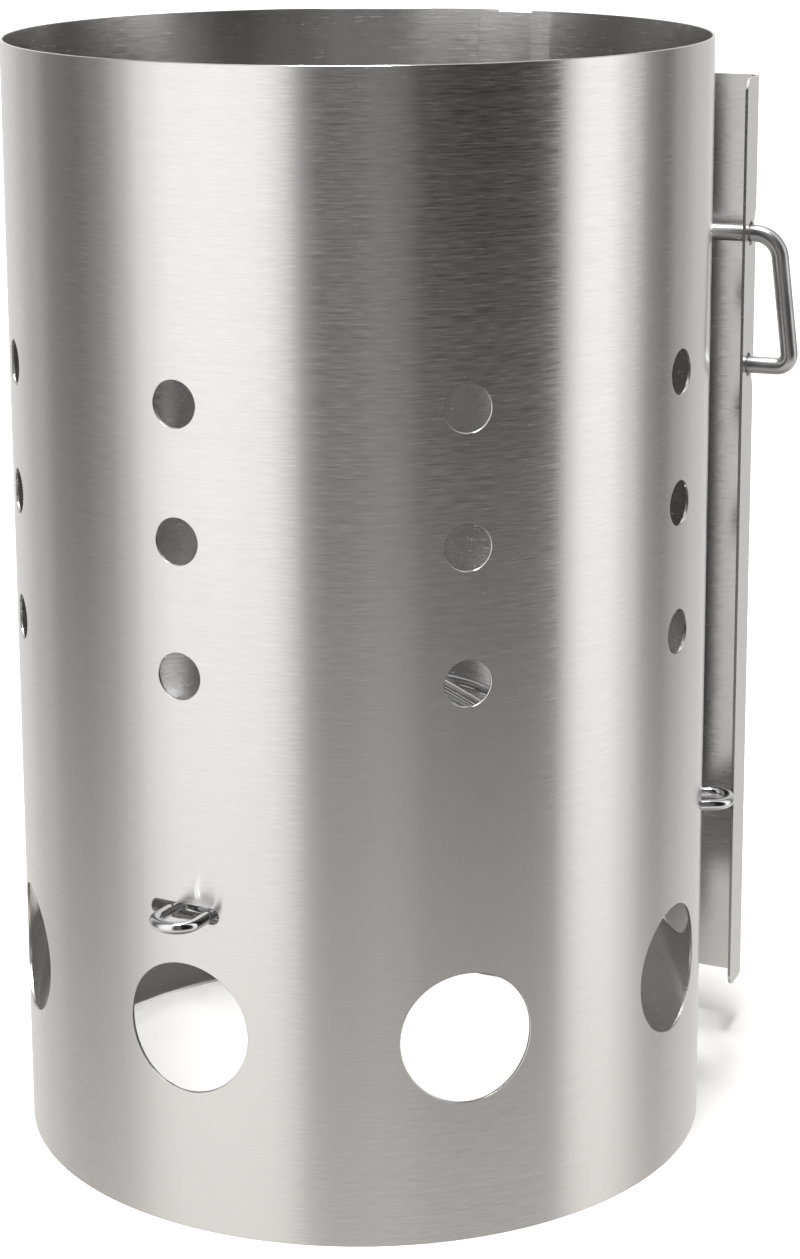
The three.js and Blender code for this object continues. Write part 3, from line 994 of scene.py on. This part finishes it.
@dataclass(frozen=True)
class StudioLight:
    """A tent of white softboxes and dark flags round the object, and a soft top light.

    The wall is a round mirror, so its right half shows all of the tent's right side. Below the
    horizon the tent turns to the table's white.

    Attributes:
        left_behind, left_softbox, front_flags, right_softbox, right_behind: Stops of the tent's
            brightness, each an azimuth in degrees, with 0 the front and 90 the right, and a level.
        table: The table's brightness where it takes over from the tent, between the downward
            directions `table_from` and `table_to`.
        shade: Its brightness straight down, reached from `shade_from` on.
        top_size, top_lean, top_azimuth: The top light's width, tilt and turn, in degrees.
    """

    left_behind: tuple[tuple[float, float], ...] = (
        (-180, 0.85), (-150, 0.80), (-128, 0.52), (-114, 0.24), (-101, 0.18), (-89, 0.30))
    left_softbox: tuple[tuple[float, float], ...] = (
        (-80, 0.62), (-72, 1.10), (-62, 1.36), (-48, 1.40), (-30, 1.34), (-24, 1.05))
    front_flags: tuple[tuple[float, float], ...] = (
        (-17, 0.26), (-12, 0.10), (-4, 0.12), (6, 0.18), (14, 0.14), (20, 0.03), (38, 0.01),
        (54, 0.03), (64, 0.12))
    right_softbox: tuple[tuple[float, float], ...] = (
        (70, 0.92), (75, 1.36), (86, 1.38), (96, 0.92))
    right_behind: tuple[tuple[float, float], ...] = (
        (106, 0.32), (115, 0.20), (124, 0.45), (140, 0.68), (180, 0.85))
    table: float = 0.90
    table_from: float = -0.17
    table_to: float = -0.59
    shade: float = 0.3
    shade_from: float = -0.72
    white: str = "fffefc"
    table_tone: str = "fffaf6"
    backdrop: float = 1.0
    top_light: float = 4.0
    top_size: float = 18.0
    top_lean: float = 7.0
    top_azimuth: float = -20.0

    def build(self) -> None:
        """Makes the tent as the world and adds the top light."""
        world = bpy.data.worlds.new("light_tent")
        bpy.context.scene.world = world
        world.use_nodes = True
        tree = world.node_tree
        tree.nodes.clear()
        way = add_node(tree, "ShaderNodeTexCoord").outputs["Generated"]
        axes = add_node(tree, "ShaderNodeSeparateXYZ", {0: way})
        front = add_node(tree, "ShaderNodeMath", {0: axes.outputs["Y"], 1: -1.0},
                         operation="MULTIPLY")
        azimuth = add_node(tree, "ShaderNodeMath", {0: axes.outputs["X"], 1: front.outputs[0]},
                           operation="ARCTAN2")
        share = add_node(tree, "ShaderNodeMapRange", {
            "Value": azimuth.outputs[0], "From Min": -math.pi, "From Max": math.pi})
        ramp = add_node(tree, "ShaderNodeValToRGB", {"Fac": share.outputs["Result"]})
        ramp.color_ramp.interpolation = "EASE"
        ring = (self.left_behind + self.left_softbox + self.front_flags + self.right_softbox
                + self.right_behind)
        peak = max(level for _, level in ring)
        stops = ramp.color_ramp.elements
        while len(stops) < len(ring):
            stops.new(0.5)
        for stop, (angle, level) in zip(stops, ring):
            stop.position = (angle + 180) / 360
            stop.color = (level / peak,) * 3 + (1.0,)
        tinted = add_node(tree, "ShaderNodeMix", {
            "Factor": 1.0, "A": ramp.outputs["Color"], "B": linear(self.white)},
            data_type="RGBA", blend_type="MULTIPLY")
        tent = add_node(tree, "ShaderNodeBackground", {
            "Color": tinted.outputs["Result"], "Strength": peak})
        below = add_node(tree, "ShaderNodeMapRange", {
            "Value": axes.outputs["Z"], "From Min": self.shade_from, "From Max": -1.0,
            "To Min": self.table, "To Max": self.shade})
        table = add_node(tree, "ShaderNodeBackground", {
            "Color": linear(self.table_tone), "Strength": below.outputs["Result"]})
        low = add_node(tree, "ShaderNodeMapRange", {
            "Value": axes.outputs["Z"], "From Min": self.table_from,
            "From Max": self.table_to}, interpolation_type="SMOOTHSTEP")
        around = add_node(tree, "ShaderNodeMixShader", {
            0: low.outputs["Result"], 1: tent.outputs[0], 2: table.outputs[0]})
        plain = add_node(tree, "ShaderNodeBackground", {
            "Color": (1.0, 1.0, 1.0, 1.0), "Strength": self.backdrop})
        seen = add_node(tree, "ShaderNodeLightPath").outputs["Is Camera Ray"]
        whole = add_node(tree, "ShaderNodeMixShader", {
            0: seen, 1: around.outputs[0], 2: plain.outputs[0]})
        add_node(tree, "ShaderNodeOutputWorld", {"Surface": whole.outputs[0]})
        data = bpy.data.lights.new("top_light", "SUN")
        data.energy, data.angle = self.top_light, math.radians(self.top_size)
        lamp = bpy.data.objects.new("top_light", data)
        lamp.rotation_euler = (math.radians(self.top_lean), 0, math.radians(self.top_azimuth))
        bpy.context.scene.collection.objects.link(lamp)


@dataclass(frozen=True)
class Table:
    """The plain pale table top, painted matt white."""

    colour: str = "f2f1ef"
    pale: str = "f5f4f2"
    clouds_per_metre: float = 4.0
    half: float = 30.0

    def build(self) -> bpy.types.Object:
        """Makes the table top. Its reflection is the tent's own lower part, so it has none."""
        material, tree = new_material("matt_white_table")
        place = add_node(tree, "ShaderNodeTexCoord").outputs["Object"]
        noise = add_node(tree, "ShaderNodeTexNoise", {
            "Vector": place, "Scale": self.clouds_per_metre})
        colour = add_node(tree, "ShaderNodeMix", {
            "Factor": noise.outputs["Fac"], "A": linear(self.colour), "B": linear(self.pale)},
            data_type="RGBA")
        shader = add_node(tree, "ShaderNodeBsdfDiffuse", {"Color": colour.outputs["Result"]})
        add_node(tree, "ShaderNodeOutputMaterial", {"Surface": shader.outputs[0]})
        mesh = bpy.data.meshes.new("table_top")
        edge = self.half
        corners = [(-edge, -edge, 0), (edge, -edge, 0), (edge, edge, 0), (-edge, edge, 0)]
        mesh.from_pydata(corners, [], [(0, 1, 2, 3)])
        mesh.materials.append(material)
        top = bpy.data.objects.new("table_top", mesh)
        top.visible_glossy = False
        bpy.context.scene.collection.objects.link(top)
        return top


@dataclass(frozen=True)
class PaintedInnerShadow:
    """Painted shadow: a dark disc laid on the table inside the starter, which only the steel
    reflects.

    The steel reflects the tent's lower part and not the table, so this disc is painted shade: it
    stands for the shadow that the wall throws on the table inside it.
    """

    place: Frame
    # The painted shadow's grey, standing for the shade on the table inside the wall.
    colour: str = "74716e"
    radius: float = 94.0
    lift: float = 0.4
    corners: int = 48

    def build(self) -> bpy.types.Object:
        """Makes the painted shadow: a flat disc round the axis, its corners at even angles on a
        circle.
        """
        material, tree = new_material("painted_shadow_grey")
        shader = add_node(tree, "ShaderNodeBsdfDiffuse", {"Color": linear(self.colour)})
        add_node(tree, "ShaderNodeOutputMaterial", {"Surface": shader.outputs[0]})
        turn = np.arange(self.corners) * 2 * math.pi / self.corners
        rim = np.column_stack((self.radius * np.cos(turn), self.radius * np.sin(turn),
                               np.full(self.corners, self.lift)))
        mesh = bpy.data.meshes.new("painted_inner_shadow")
        mesh.from_pydata(self.place.to_row(rim).tolist(), [], [tuple(range(self.corners))])
        mesh.materials.append(material)
        painted_shadow_disc = bpy.data.objects.new("painted_inner_shadow", mesh)
        # Hidden from the camera, diffuse light and shadows, so the painted shadow shows only in the
        # steel's reflections.
        painted_shadow_disc.visible_camera = painted_shadow_disc.visible_diffuse = painted_shadow_disc.visible_shadow = False
        bpy.context.scene.collection.objects.link(painted_shadow_disc)
        return painted_shadow_disc


def main() -> None:
    """Builds the studio and the starter."""
    logging.basicConfig(level=logging.INFO, format="%(name)s: %(message)s")
    place = Frame.measured()
    StudioCamera().build(place)
    StudioLight().build()
    Table().build()
    # The painted shadow on the table inside the starter, seen only in the steel.
    PaintedInnerShadow(place).build()
    sheet = WallSheet(place)
    sheet.build()
    Handle(place, sheet).build()
    Grate(place).build()
    bpy.context.scene.view_settings.view_transform = "Standard"
    bpy.context.scene.cycles.glossy_bounces = MIRROR_BOUNCES


if __name__ == "__main__":
    main()
